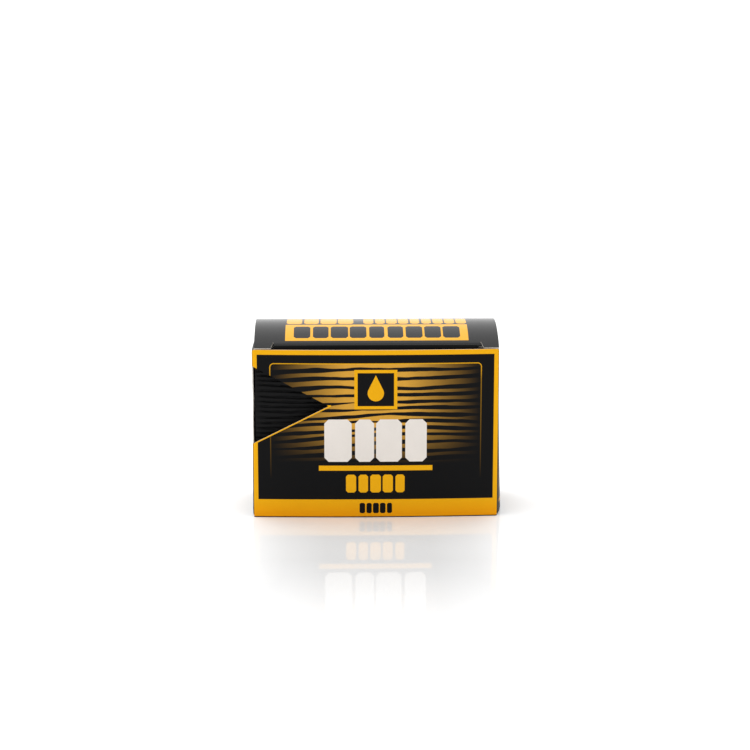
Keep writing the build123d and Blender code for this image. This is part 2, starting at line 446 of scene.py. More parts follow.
def front_artwork(tree, u, v):
    """Yellow border and foot band, streaks, badge, and rows of plain blocks for the words."""
    sideways = abs(u)
    glow = sideways.ramp(43.0, 12.0).math("POWER", 1.5)
    downwards = v.ramp(22.5, 38.0).math("POWER", 1.3)
    frame_edge = rounded_rectangle(u, v, *FRAME)
    lit_streaks = frame_edge.below(0.0) * streaks(tree, u, v) * glow * downwards
    colour = ink(tree, BLACK_INK, STREAK_INK, lit_streaks)
    line_glow = v.ramp(16.0, 60.0) * 0.34 + v.ramp(57.0, 62.5) * 0.46
    colour = ink(tree, colour, YELLOW_INK, frame_edge.within(-FRAME_LINE, FRAME_LINE) * line_glow)
    badge = rectangle(u, v, -BADGE_HALF, BADGE_HALF, BADGE_LOW, BADGE_HIGH)
    inner = BADGE_HALF - BADGE_EDGE
    badge_field = rectangle(u, v, -inner, inner, BADGE_LOW + BADGE_EDGE, BADGE_HIGH - BADGE_EDGE)
    colour = ink(tree, colour, YELLOW_INK, badge)
    colour = ink(tree, colour, BLACK_INK, badge_field)
    badge_middle = (BADGE_LOW + BADGE_HIGH) / 2
    colour = ink(tree, colour, YELLOW_INK, drop_badge(u, v, 0.0, badge_middle))
    title = blocks(u, v, TITLE_BLOCKS, TITLE_LOW, TITLE_HIGH, TITLE_CHAMFER)
    colour = ink(tree, colour, WHITE_INK, title)
    colour = ink(tree, colour, YELLOW_INK, rectangle(u, v, *RULE))
    colour = ink(tree, colour, YELLOW_INK, bar_row(tree, u, v, *UNDER_RULE_BARS))
    edge = sideways.above(HALF_WIDTH - BORDER).most(v.above(HEIGHT - BORDER))
    colour = ink(tree, colour, YELLOW_INK, lower_window_line(u, v))
    colour = ink(tree, colour, YELLOW_INK, edge.most(v.below(BAND)))
    colour = ink(tree, colour, WARM_YELLOW, v.below(BAND) * v.ramp(BAND, 0.0))
    return ink(tree, colour, BLACK_INK, bar_row(tree, u, v, *BAND_BARS))


def lower_window_line(u, v):
    """The thin yellow line along the window's lower edge, round its tip."""
    slope = (WINDOW_TIP - WINDOW_LOW) / WINDOW_REACH
    lean = math.hypot(1, slope)
    under = (v - WINDOW_LOW - (u + HALF_WIDTH) * slope) / lean
    before_tip = u.below(-HALF_WIDTH + WINDOW_REACH + 0.9) * v.below(WINDOW_TIP + 0.4)
    return under.within(-0.5, 0.6) * before_tip


def plain_artwork(tree, u, v):
    """Black all over."""
    black = tree.nodes.new("ShaderNodeRGB")
    black.outputs[0].default_value = (*BLACK_INK, 1)
    return black.outputs[0]


def back_artwork(tree, u, v):
    """The front's border and band round an empty field with a short column of plain bars."""
    frame_edge = rounded_rectangle(u, v, *FRAME)
    glow = abs(u).ramp(43.0, 26.0) * v.ramp(40.0, 58.0)
    colour = ink(tree, BLACK_INK, STREAK_INK, frame_edge.below(0.0) * streaks(tree, u, v) * glow)
    colour = ink(tree, colour, YELLOW_INK, frame_edge.within(-0.28, 0.28) * 0.5)
    pitch, low, high, strength = 3.4, 17.0, 37.4, 0.75
    row = v / pitch
    bars = row.fraction().within(0.2, 0.62) * v.within(low, high)
    length = random_of(tree, row.floor()) * 14.0 + 20.0
    for start, bar_ink in ((-36.0, WHITE_INK), (2.0, YELLOW_INK)):
        along = u - start
        colour = ink(tree, colour, bar_ink, bars * along.above(0.0) * along.below(length) * strength)
    edge = abs(u).above(HALF_WIDTH - BORDER).most(v.above(HEIGHT - BORDER)).most(v.below(BAND))
    return ink(tree, colour, YELLOW_INK, edge)


def side_artwork(tree, u, v):
    """Black, with the front's streaks low down and a yellow line under them."""
    low_glow = v.ramp(34.0, 12.0) * abs(u).ramp(20.0, 12.0) * 0.6 * v.ramp(8.5, 12.5)
    colour = ink(tree, BLACK_INK, STREAK_INK, streaks(tree, u, v) * low_glow)
    return ink(tree, colour, YELLOW_INK, v.within(4.5, 5.6) * abs(u).below(17.0))


LID_PANEL = (-36.6, 37.75, 2.1, 14.1)
LID_PANEL_BARS = (-33.6, 34.8, 3.7, 12.2, 9, 0.08, 0.9)
LID_LEFT_BARS = (-36.6, -8.5, 14.9, 23.4, 4, 0.07, 0.9)
LID_RIGHT_BARS = (-5.0, 37.9, 14.9, 23.4, 9, 0.10, 0.9)


def lid_artwork(tree, u, v):
    """A yellow panel with dark blocks near the rim and a row of yellow blocks behind it."""
    colour = ink(tree, BLACK_INK, YELLOW_INK, rectangle(u, v, *LID_PANEL))
    colour = ink(tree, colour, BLACK_INK, bar_row(tree, u, v, *LID_PANEL_BARS))
    row = bar_row(tree, u, v, *LID_LEFT_BARS).most(bar_row(tree, u, v, *LID_RIGHT_BARS))
    return ink(tree, colour, YELLOW_INK, row)


def bare_board(name, colour, grain_scale, rough):
    """Uncoated board: pale pulp with darker and lighter fibres."""
    material, tree, shader = start_material(name)
    place = object_place(tree)
    stretch = tree.nodes.new("ShaderNodeMapping")
    stretch.inputs["Scale"].default_value = (1.0, 3.0, 1.0)
    tree.links.new(place, stretch.inputs[0])
    fibres = noise(tree, stretch.outputs[0], grain_scale, 5, 0.65, 0.6)
    cloud = noise(tree, place, 60, 3)
    shade = fibres.ramp(0.30, 0.72)
    base = ink(tree, tuple(c * 0.72 for c in colour), colour, shade)
    base = ink(tree, base, tuple(c * 0.9 for c in colour), cloud.ramp(0.45, 0.75) * 0.5)
    tree.links.new(base, shader.inputs["Base Color"])
    tree.links.new((fibres * 0.15 + (rough - 0.08)).socket, shader.inputs["Roughness"])
    shader.inputs["Specular IOR Level"].default_value = 0.25
    set_bump(tree, shader, fibres, 0.00004, 0.5)
    return material


BARE_BOARD = bare_board("bare_board_inside", (0.74, 0.71, 0.66), 900, 0.85)
CUT_EDGE = bare_board("raw_cut_edge", (0.80, 0.75, 0.68), 3000, 0.9)
PLAIN_PRINT = laminated("black_laminate", plain_artwork, gloss=0.42, specular=0.16)
FRONT_PRINT = laminated("front_print", front_artwork, gloss=0.4, specular=0.06)
BACK_PRINT = laminated("back_print", back_artwork, gloss=0.4, specular=0.12)
SIDE_PRINT = laminated("side_print", side_artwork, gloss=0.45, specular=0.06)
LID_PRINT = laminated("lid_print", lid_artwork, gloss=0.22, specular=0.62)


# ---- the sleeve ---------------------------------------------------------------
def fold_round(distance, radius=CORNER_ROUND):
    """How a panel rolls into its corner fold: (shift along it, drop from its face)."""
    if distance >= radius:
        return 0.0, 0.0
    turn = (1 - distance / radius) * math.pi / 4
    return radius * math.sin(turn) - (radius - distance), radius * (1 - math.cos(turn))


def bulged(u, v, half, bows, height=HEIGHT):
    """(along, out) of a bulged panel with rounded folds at both ends."""
    bow = mix(bows[0], bows[1], min(max(v / height, 0), 1))
    shift, drop = fold_round(half - abs(u))
    along = math.copysign(abs(u) + shift, u)
    return along, bow * (1 - (u / half) ** 2) - drop


def front_surface(u, v):
    along, out = bulged(u, v, HALF_WIDTH, FRONT_BOW)
    low = max(BOTTOM_ROUND - v, 0)
    roll = BOTTOM_ROUND - math.sqrt(max(BOTTOM_ROUND**2 - low**2, 0))
    return along, -FOLD_Y - out + roll, v


def back_surface(u, v):
    along, out = bulged(u, v, HALF_WIDTH, BACK_BOW)
    return -along, FOLD_Y + out, v


def side_surface(side):
    """A side panel's outside; u runs along Y so that u by v points outwards."""

    def surface(u, v):
        along, out = bulged(u, v, FOLD_Y, SIDE_BOW[side])
        return side * (HALF_WIDTH + out), side * along, v

    return surface


def fold_cuts(half, pitch):
    """Cuts across a panel, close together where it rolls into its folds."""
    near = [half - CORNER_ROUND * k / 4 for k in range(5)]
    return sorted({*steps_between(-half + 1, half - 1, pitch), *near, *(-n for n in near)})


def make_sleeve():
    rise = steps_between(SEAM, HEIGHT, 3.0) + [0.15, 0.3, 0.45, 0.6]
    front = [
        (-HALF_WIDTH, HEIGHT, 0.8),
        (-HALF_WIDTH, WINDOW_HIGH, 0.0),
        (-HALF_WIDTH + WINDOW_REACH, WINDOW_TIP, 0.35),
        (-HALF_WIDTH, WINDOW_LOW, 0.0),
        (-HALF_WIDTH, SEAM, 1.0),
        (HALF_WIDTH, SEAM, 1.0),
        (HALF_WIDTH, HEIGHT, 0.8),
    ]
    cuts = fold_cuts(HALF_WIDTH, 2.5)
    board(
        "front_board", rounded_outline(front), front_surface, cuts, rise,
        FRONT_PRINT, "sleeve", "front_panel",
        lambda u, v: abs(u) > HALF_WIDTH - 0.01 or v < 1.1,
    )
    back = [
        (-HALF_WIDTH, SEAM + BOARD, 1.0),
        (HALF_WIDTH, SEAM + BOARD, 1.0),
        (HALF_WIDTH, HEIGHT, 0.0),
        (-HALF_WIDTH, HEIGHT, 0.0),
    ]
    board(
        "back_board", rounded_outline(back), back_surface, cuts, rise,
        BACK_PRINT, "sleeve", "back_panel",
        lambda u, v: abs(u) > HALF_WIDTH - 0.01 or v > HEIGHT - 0.1,
    )
    side_cuts = fold_cuts(FOLD_Y, 2.2)
    for side, name in ((1, "right"), (-1, "left")):
        corners = [
            (-FOLD_Y, SIDE_LOW_Z, 0.9),
            (FOLD_Y, SIDE_LOW_Z, 0.9),
            (FOLD_Y, SIDE_HIGH_Z, 0.6),
            (-FOLD_Y, SIDE_HIGH_Z, 0.6),
        ]
        if side < 0:
            fold = FOLD_Y
            corners[2:2] = [
                (fold, WINDOW_LOW, 0.0),
                (fold - WINDOW_RETURN, WINDOW_TIP, 0.35),
                (fold, WINDOW_HIGH, 0.0),
            ]
        board(
            f"{name}_side_board", rounded_outline(corners), side_surface(side), side_cuts, rise,
            SIDE_PRINT, "sleeve", f"{name}_side_panel",
            lambda u, v: abs(u) > FOLD_Y - 0.01 or not WINDOW_LOW - 0.5 < v < WINDOW_HIGH + 0.5,
        )


def make_glue_flap():
    low, high = span("glue_flap")
    taper = 4.0
    inset = BOARD + 0.03
    outline = [
        (low[0], low[2] + taper, 0.8),
        (high[0], low[2], 0.8),
        (high[0], high[2], 0.8),
        (low[0], high[2] - taper, 0.8),
    ]

    def surface(u, v):
        x, y, z = back_surface(-u, v)
        return -u, y - inset, z

    mirrored = [(-u, v, r) for u, v, r in reversed(outline)]
    cuts = steps_between(-high[0], -low[0], 2.0)
    rise = steps_between(low[2], high[2], 4.0)
    board(
        "glue_flap_board", rounded_outline(mirrored), surface, cuts, rise,
        PLAIN_PRINT, "sleeve", "glue_flap", lambda u, v: False,
    )


make_sleeve()
make_glue_flap()


# ---- closing flaps ------------------------------------------------------------
def lid_arc():
    """Centre (y, z) and outer radius of the arched lid, through its crease, crown and rim."""
    rear = np.array([LID_HINGE[1], LID_HINGE[2]])
    rim = np.array([LID_RIM[1], LID_RIM[2]])
    crown_z = LID_HIGH[2] - BOARD
    best = None
    for crown_y in np.linspace(-3, 3, 241):
        crown = np.array([crown_y, crown_z])
        chords = 2 * np.array([crown - rear, rim - rear])
        centre = np.linalg.solve(chords, [crown @ crown - rear @ rear, rim @ rim - rear @ rear])
        miss = abs(centre[1] + np.linalg.norm(rear - centre) - crown_z)
        if best is None or miss < best[0]:
            best = (miss, centre, np.linalg.norm(rear - centre) + BOARD)
    return best[1], best[2]


LID_CENTRE, LID_RADIUS = lid_arc()
RIM_ANGLE = math.asin((LID_CENTRE[0] - LID_RIM[1]) / (LID_RADIUS - BOARD))
REAR_ANGLE = math.asin((LID_HINGE[1] - LID_CENTRE[0]) / (LID_RADIUS - BOARD))
LID_ARC = LID_RADIUS * (RIM_ANGLE + REAR_ANGLE)
ROLL = 1.0
ROLL_START = 0.85


def lid_surface(u, v):
    """The lid's outside: u is X, v the arc length back from the rim.

    Between the slits the rim rolls over to the tuck flap, and the tabs outside them run on.
    """
    rolled = SLIT_LEFT < u < SLIT_RIGHT and v < ROLL_START
    angle = RIM_ANGLE - (ROLL_START if rolled else v) / LID_RADIUS
    y = LID_CENTRE[0] - LID_RADIUS * math.sin(angle)
    z = LID_CENTRE[1] + LID_RADIUS * math.cos(angle)
    if rolled:
        turn = (ROLL_START - v) / ROLL
        y -= ROLL * (math.sin(angle + turn) - math.sin(angle))
        z += ROLL * (math.cos(angle + turn) - math.cos(angle))
    return u, y, z


TAB_REACH = -2.0
ROLL_END = ROLL_START - ROLL * (math.pi / 2 + TUCK_LEAN - RIM_ANGLE + 0.02)


def make_lid():
    left, right = LID_LOW[0], LID_HIGH[0]
    gap, slant, slit_end = 0.12, 0.9, ROLL_START + 0.25
    outline = [
        (left, TAB_REACH, 0.3),
        (SLIT_LEFT - gap - slant, TAB_REACH, 0.1),
        (SLIT_LEFT - gap, slit_end, 0.0),
        (SLIT_LEFT + gap, slit_end, 0.0),
        (SLIT_LEFT + gap, ROLL_END, 0.0),
        (SLIT_RIGHT - gap, ROLL_END, 0.0),
        (SLIT_RIGHT - gap, slit_end, 0.0),
        (SLIT_RIGHT + gap, slit_end, 0.0),
        (SLIT_RIGHT + gap + slant, TAB_REACH, 0.1),
        (right, TAB_REACH, 0.3),
        (right, LID_ARC, 0.0),
        (left, LID_ARC, 0.0),
    ]
    across = steps_between(left, right, 4.0)
    along = steps_between(1.5, LID_ARC, 1.5) + steps_between(ROLL_END, ROLL_START, 0.16)
    board(
        "lid_board", rounded_outline(outline, 3), lid_surface, across, along,
        LID_PRINT, "lid", "lid_panel",
        lambda u, v: v > LID_ARC - 0.01 or abs(v - ROLL_END) < 0.01,
    )


def tuck_surface(place, inward):
    """The outside of a tuck flap; u is X, v the distance from its fold."""
    c, s = math.cos(TUCK_LEAN), math.sin(TUCK_LEAN)

    def surface(u, v):
        curl = 0.002 * v * v
        y = place[1] + inward * (s * v + c * curl)
        z = place[2] - inward * (c * v - s * curl)
        return inward * u, y, z

    return surface


def make_tuck_flap(name, node, body, place, inward, slit):
    half = TUCK_HALF_WIDTH
    start = 0.15
    corner = 8.0
    outline = [
        (-half, TUCK_LENGTH, corner),
        (-half, start + slit, 0.3),
        (-half + TUCK_EAR - 0.4, start + slit, 0.0),
        (-half + TUCK_EAR, start, 0.0),
        (half - TUCK_EAR, start, 0.0),
        (half - TUCK_EAR + 0.4, start + slit, 0.0),
        (half, start + slit, 0.3),
        (half, TUCK_LENGTH, corner),
    ]
    across = steps_between(-half, half, 4.0)
    along = steps_between(start, TUCK_LENGTH, 1.2)
    surface = tuck_surface(place, inward)
    flipped = [(u, -v, r) for u, v, r in outline]

    def upright(u, v):
        return surface(u, -v)

    board(
        name, rounded_outline(flipped), upright, across, [-a for a in along],
        PLAIN_PRINT, body, node, lambda u, v: v > -start - 0.01,
    )


def make_dust_flap(node, body, side, hinge_side, bow, top):
    """A dust flap; its outside faces up on the top closure and down on the bottom one."""
    low, high = span(node)
    length, setback, ear, hinge_gap = 18.5, 3.5, 1.8, 0.55
    side_half = FOLD_Y - BOARD - 0.1
    free = HALF_WIDTH - length
    tuck_edge = -FOLD_Y + setback
    hinge_end = side_half - hinge_gap
    slant = math.radians(34)
    taper = hinge_end - length * math.tan(slant)

    def crease(y):
        return HALF_WIDTH + bow * (1 - (y / side_half) ** 2)

    ends = steps_between(tuck_edge - ear, hinge_end, 2.5)
    corners = [(crease(y), y, 0.0) for y in ends]
    corners += [(free, taper, 3.0), (free, tuck_edge, 3.0), (HALF_WIDTH - ear, tuck_edge, 0.8)]
    outside_z = high[2] if top else low[2]
    flip = side * hinge_side * (1 if top else -1)
    outline = rounded_outline(corners)
    if flip < 0:
        outline = [(u, -v) for u, v in reversed(outline)]

    def surface(u, v):
        return side * u, hinge_side * v * (1 if flip > 0 else -1), outside_z

    across = steps_between(free, HALF_WIDTH, 3.0)
    board(
        f"{node}_board", outline, surface, across, steps_between(-22, 22, 3.0),
        PLAIN_PRINT, body, node, lambda u, v: u > HALF_WIDTH - 0.5,
    )


def make_base():
    low, high = span("base_panel")
    half = high[0]
    ends = steps_between(-half, half, 4.0)
    corners = [(-x, -FOLD_Y - FRONT_BOW[0] * (1 - (x / half) ** 2) + 0.3, 0.0) for x in ends]
    corners += [(-half, high[1], 1.0), (half, high[1], 1.0)]
    outline = rounded_outline([(u, v, r) for u, v, r in corners])

    def surface(u, v):
        return -u, v, low[2]

    across, along = steps_between(-half, half, 4.0), steps_between(-22, 20, 6.0)
    board(
        "base_board", outline, surface, across, along,
        PLAIN_PRINT, "base", "base_panel", lambda u, v: v < 0.31 - FOLD_Y,
    )


make_lid()
make_tuck_flap("lid_tuck_board", "lid_tuck_flap", "lid_tuck", LID_RIM, 1, 0.9)
make_tuck_flap("base_tuck_board", "base_tuck_flap", "base_tuck", BASE_REAR, -1, 0.3)
make_base()
for side, word in ((-1, "left"), (1, "right")):
    low_bow, top_bow = SIDE_BOW[side]
    make_dust_flap(f"top_dust_flap_{word}", f"top_dust_{word}", side, 1, top_bow, True)
    make_dust_flap(f"base_dust_flap_{word}", f"base_dust_{word}", side, -1, low_bow, False)


# ---- creases --------------------------------------------------------------------
def crease_tree():
    """Nodes that lay a round bead of board along a path: inputs Radius and Sides."""
    tree = bpy.data.node_groups.new("crease_bead", "GeometryNodeTree")
    face = tree.interface
    face.new_socket("Path", in_out="INPUT", socket_type="NodeSocketGeometry")
    face.new_socket("Radius", in_out="INPUT", socket_type="NodeSocketFloat")
    face.new_socket("Sides", in_out="INPUT", socket_type="NodeSocketInt")
    face.new_socket("Finish", in_out="INPUT", socket_type="NodeSocketMaterial")
    face.new_socket("Bead", in_out="OUTPUT", socket_type="NodeSocketGeometry")
    enter = tree.nodes.new("NodeGroupInput")
    leave = tree.nodes.new("NodeGroupOutput")
    curve = tree.nodes.new("GeometryNodeMeshToCurve")
    ring = tree.nodes.new("GeometryNodeCurvePrimitiveCircle")
    sweep = tree.nodes.new("GeometryNodeCurveToMesh")
    smooth = tree.nodes.new("GeometryNodeSetShadeSmooth")
    realize = tree.nodes.new("GeometryNodeRealizeInstances")
    finish = tree.nodes.new("GeometryNodeSetMaterial")
    sweep.inputs["Fill Caps"].default_value = True
    link = tree.links.new
    link(enter.outputs["Path"], curve.inputs["Mesh"])
    link(enter.outputs["Sides"], ring.inputs["Resolution"])
    link(enter.outputs["Radius"], ring.inputs["Radius"])
    link(curve.outputs["Curve"], sweep.inputs["Curve"])
    link(ring.outputs["Curve"], sweep.inputs["Profile Curve"])
    link(sweep.outputs["Mesh"], smooth.inputs["Geometry"])
    link(smooth.outputs["Geometry"], realize.inputs["Geometry"])
    link(realize.outputs["Geometry"], finish.inputs["Geometry"])
    link(enter.outputs["Finish"], finish.inputs["Material"])
    link(finish.outputs["Geometry"], leave.inputs["Bead"])
    return tree


def grown(name, start_mesh, tree, values):
    """A plain mesh object made by a Geometry Nodes tree from a starting mesh and named inputs."""
    seedling = bpy.data.objects.new(f"{name}_start", start_mesh)
    bpy.context.collection.objects.link(seedling)
    maker = seedling.modifiers.new("maker", "NODES")
    maker.node_group = tree
    inputs = [item for item in tree.interface.items_tree if item.in_out == "INPUT"]
    sockets = {item.name: item.identifier for item in inputs}
    for label, value in values.items():
        maker[sockets[label]] = value
    bpy.context.view_layer.update()
    evaluated = seedling.evaluated_get(bpy.context.evaluated_depsgraph_get())
    mesh = bpy.data.meshes.new_from_object(evaluated)
    seedling.modifiers.remove(maker)
    bpy.data.objects.remove(seedling)
    mesh.name = name
    piece = bpy.data.objects.new(name, mesh)
    bpy.context.collection.objects.link(piece)
    return piece


def face_outwards(mesh):
    """Recalculates a closed mesh's normals."""
    shell = bmesh.new()
    shell.from_mesh(mesh)
    bmesh.ops.remove_doubles(shell, verts=shell.verts, dist=1e-7)
    bmesh.ops.recalc_face_normals(shell, faces=shell.faces)
    shell.to_mesh(mesh)
    shell.free()


CREASE_TREE = crease_tree()


def crease(name, path, body, radius=0.28):
    """A rounded fold line along a path in millimetres."""
    line = bpy.data.meshes.new(f"{name}_path")
    line.from_pydata([Vector(p) * MM for p in path], [(i, i + 1) for i in range(len(path) - 1)], [])
    values = {"Radius": radius * MM, "Sides": 12, "Finish": PLAIN_PRINT}
    bead = grown(name, line, CREASE_TREE, values)
    face_outwards(bead.data)
    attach(bead, body)


def bowed_line(half, bow, at):
    """Points along a bulging fold; at(along, out) gives each one's place."""
    return [at(a, bow * (1 - (a / half) ** 2)) for a in steps_between(-half + 0.5, half - 0.5, 3.0)]


def make_creases():
    low = 0.3
    # The black bead along the front's yellow foot is partly the fold's own rounding and partly
    # painted shade: it draws the dark line where the fold turns under.
    crease(
        "front_foot_fold_and_shade",
        bowed_line(HALF_WIDTH, FRONT_BOW[0], lambda a, out: (a, -FOLD_Y - out + low, low)),
        "sleeve", low,
    )
    across = steps_between(LID_LOW[0], LID_HIGH[0], 5.0)
    rear_edge = [(x, FOLD_Y - 0.06, HEIGHT + 0.06) for x in across]
    crease("lid_crease", rear_edge, "sleeve", 0.34)
    rim = [(x, LID_RIM[1] + 0.3, LID_RIM[2] - 0.05) for x in (SLIT_LEFT, 0, SLIT_RIGHT)]
    crease("lid_rim_crease", rim, "lid")
    rear_foot = [(x, BASE_REAR[1] - 0.05, low) for x in (-TUCK_HALF_WIDTH, 0, TUCK_HALF_WIDTH)]
    crease("base_rear_crease", rear_foot, "base")
    half = FOLD_Y - BOARD - 0.6
    for side, word in ((-1, "left"), (1, "right")):
        low_bow, top_bow = SIDE_BOW[side]

        def upper(along, out):
            return side * (HALF_WIDTH + out - 0.2), along, SIDE_HIGH_Z + 0.15

        def lower(along, out):
            return side * (HALF_WIDTH + out - 0.26), along, SIDE_LOW_Z - 0.12

        crease(f"top_{word}_crease", bowed_line(half, top_bow, upper), "sleeve", 0.26)
        crease(f"foot_{word}_crease", bowed_line(half, low_bow, lower), "sleeve", 0.3)


make_creases()


# ---- the clay block ---------------------------------------------------------------
CLAY_LOW, CLAY_HIGH = span("clay_pad")
FOAM_LOW, FOAM_HIGH = span("foam_body")
BOND_LOW, BOND_HIGH = span("bond_layer")


def clay_finish():
    """Tacky black clay: dark, faintly mottled, satin, with fine pits and pale specks."""
    material, tree, shader = start_material("black_clay")
    place = object_place(tree)
    mottle = noise(tree, place, 140, 4)
    grain = noise(tree, place, 1900, 4, 0.7)
    pits = noise(tree, place, 900, 2, 0.5, 0.8)
    base = ink(tree, (0.0035, 0.0035, 0.0037), (0.0072, 0.0072, 0.0076), mottle.ramp(0.35, 0.7))
    base = ink(tree, base, (0.019, 0.019, 0.020), grain.ramp(0.6, 0.85) * 0.5)
    tree.links.new(base, shader.inputs["Base Color"])
    tree.links.new((grain * 0.25 + mottle * 0.15 + 0.38).socket, shader.inputs["Roughness"])
    shader.inputs["Specular IOR Level"].default_value = 0.12
    set_bump(tree, shader, grain * 0.5 + pits, 0.00008, 0.6)
    return material


def foam_finish():
    """Closed-cell foam: charcoal, with small round cells and a soft sheen; each cell's hollow is
    painted darker as shade.
    """
    material, tree, shader = start_material("charcoal_foam")
    place = object_place(tree)
    cells = tree.nodes.new("ShaderNodeTexVoronoi")
    cells.inputs["Scale"].default_value = 1300
    tree.links.new(place, cells.inputs["Vector"])
    cell = Value(tree, cells.outputs["Distance"])
    cloud = noise(tree, place, 70, 4)
    # Painted shade: the colour darkens towards each cell's centre, which the bump also sinks as a
    # pit.
    cell_walls_and_pit_shade = cell.ramp(0.15, 0.62)
    base = ink(tree, (0.030, 0.031, 0.034), (0.085, 0.088, 0.094), cell_walls_and_pit_shade)
    base = ink(tree, base, (0.055, 0.057, 0.062), cloud.ramp(0.4, 0.7) * 0.5)
    tree.links.new(base, shader.inputs["Base Color"])
    tree.links.new((cloud * 0.1 + 0.78).socket, shader.inputs["Roughness"])
    shader.inputs["Specular IOR Level"].default_value = 0.3
    shader.inputs["Sheen Weight"].default_value = 0.25
    shader.inputs["Sheen Roughness"].default_value = 0.5
    set_bump(tree, shader, cell_walls_and_pit_shade + cloud * 0.6, 0.00018, 0.7)
    return material


def bond_finish():
    """A cured film of contact adhesive: amber-grey and glossy, with ripples."""
    material, tree, shader = start_material("bond_film")
    place = object_place(tree)
    ripple = noise(tree, place, 420, 3)
    base = ink(tree, (0.10, 0.085, 0.055), (0.19, 0.16, 0.105), ripple.ramp(0.3, 0.7))
    tree.links.new(base, shader.inputs["Base Color"])
    tree.links.new((ripple * 0.2 + 0.2).socket, shader.inputs["Roughness"])
    set_bump(tree, shader, ripple, 0.00008, 0.6)
    return material


def clay_tree():
    """Nodes that press uneven grooves into a slab's face."""
    tree = bpy.data.node_groups.new("clay_grooves", "GeometryNodeTree")
    face = tree.interface
    face.new_socket("Slab", in_out="INPUT", socket_type="NodeSocketGeometry")
    lengths = ("Pitch", "Depth", "Wander", "Face", "Low", "High", "Half Width")
    for label in lengths:
        face.new_socket(label, in_out="INPUT", socket_type="NodeSocketFloat")
    face.new_socket("Seed", in_out="INPUT", socket_type="NodeSocketInt")
    face.new_socket("Finish", in_out="INPUT", socket_type="NodeSocketMaterial")
    face.new_socket("Pad", in_out="OUTPUT", socket_type="NodeSocketGeometry")
    enter = tree.nodes.new("NodeGroupInput")
    leave = tree.nodes.new("NodeGroupOutput")
    value = {label: Value(tree, enter.outputs[label]) for label in (*lengths, "Seed")}
    position = tree.nodes.new("GeometryNodeInputPosition")
    split = tree.nodes.new("ShaderNodeSeparateXYZ")
    tree.links.new(position.outputs[0], split.inputs[0])
    x, y, z = (Value(tree, out) for out in split.outputs)
    wave = noise(tree, point(tree, x * 26.0, value["Seed"], z * 75.0), 1.0, 2, 0.5)
    swell = noise(tree, point(tree, x * 60.0, value["Seed"] + 7.3, z * 300.0), 1.0, 2, 0.5)
    row = (z + (wave - 0.5) * value["Wander"]) / value["Pitch"]
    across = abs(row.fraction() - 0.5)
    groove_half = swell.ramp(0.3, 0.7) * 0.16 + 0.10
    hollow = (groove_half - across).math("MULTIPLY_ADD", 7.0, 0.5, clamp=True)
    near_low = (z - value["Low"]).ramp(0.0012, 0.0024)
    near_high = (value["High"] - z).ramp(0.0012, 0.0024)
    near_side = (value["Half Width"] - abs(x)).ramp(0.0006, 0.0020)
    on_face = (y - value["Face"]).math("LESS_THAN", 0.00005)
    depth = hollow * near_low * near_high * near_side * value["Depth"] * on_face
    shift = point(tree, 0.0, depth, 0.0)
    move = tree.nodes.new("GeometryNodeSetPosition")
    realize = tree.nodes.new("GeometryNodeRealizeInstances")
    smooth = tree.nodes.new("GeometryNodeSetShadeSmooth")
    finish = tree.nodes.new("GeometryNodeSetMaterial")
    link = tree.links.new
    link(enter.outputs["Slab"], move.inputs["Geometry"])
    link(shift, move.inputs["Offset"])
    link(move.outputs["Geometry"], smooth.inputs["Geometry"])
    link(smooth.outputs["Geometry"], realize.inputs["Geometry"])
    link(realize.outputs["Geometry"], finish.inputs["Geometry"])
    link(enter.outputs["Finish"], finish.inputs["Material"])
    link(finish.outputs["Geometry"], leave.inputs["Pad"])
    return tree


def slab_mesh(name, low, high, corner, u_cuts, v_cuts):
    """A closed plate with rounded corners, cut into a grid on both faces."""
    corners = ((low[0], low[2]), (high[0], low[2]), (high[0], high[2]), (low[0], high[2]))
    outline = rounded_outline([(u, v, corner) for u, v in corners])
    flat = flat_sheet(outline, u_cuts, v_cuts)
    count = len(flat.verts)
    front = [Vector((v.co.x, low[1], v.co.y)) * MM for v in flat.verts]
    back = [Vector((v.co.x, high[1], v.co.y)) * MM for v in flat.verts]
    faces = []
    for face in flat.faces:
        loop = [v.index for v in face.verts]
        faces += [loop, [i + count for i in reversed(loop)]]
    for edge in flat.edges:
        if len(edge.link_faces) == 1:
            loop = edge.link_loops[0]
            a, b = loop.vert.index, loop.link_loop_next.vert.index
            faces.append([b, a, a + count, b + count])
    flat.free()
    mesh = bpy.data.meshes.new(name)
    mesh.from_pydata(front + back, [], faces)
    return mesh


def make_clay_pad():
    groove_pitch = 2.2
    lengthways = steps_between(CLAY_LOW[0], CLAY_HIGH[0], 1.4)[1:-1]
    upwards = steps_between(CLAY_LOW[2], CLAY_HIGH[2], groove_pitch / 9)[1:-1]
    start = slab_mesh("clay_start", CLAY_LOW, CLAY_HIGH, 1.2, lengthways, upwards)
    values = {
        "Pitch": groove_pitch * MM, "Depth": 0.75 * MM, "Wander": 5.0 * MM, "Seed": 4,
        "Face": CLAY_LOW[1] * MM, "Low": CLAY_LOW[2] * MM, "High": CLAY_HIGH[2] * MM,
        "Half Width": CLAY_HIGH[0] * MM, "Finish": clay_finish(),
    }
    pad = grown("clay_face", start, clay_tree(), values)
    face_outwards(pad.data)
    pad.data.set_sharp_from_angle(angle=math.radians(50))
    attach(pad, "block")
    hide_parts("clay_pad")


def make_bond():
    mesh = slab_mesh("bond_film", BOND_LOW, BOND_HIGH, 1.2, [], [])
    mesh.materials.append(bond_finish())
    film = bpy.data.objects.new("bond_film", mesh)
    bpy.context.collection.objects.link(film)
    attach(film, "block")
    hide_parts("bond_layer")


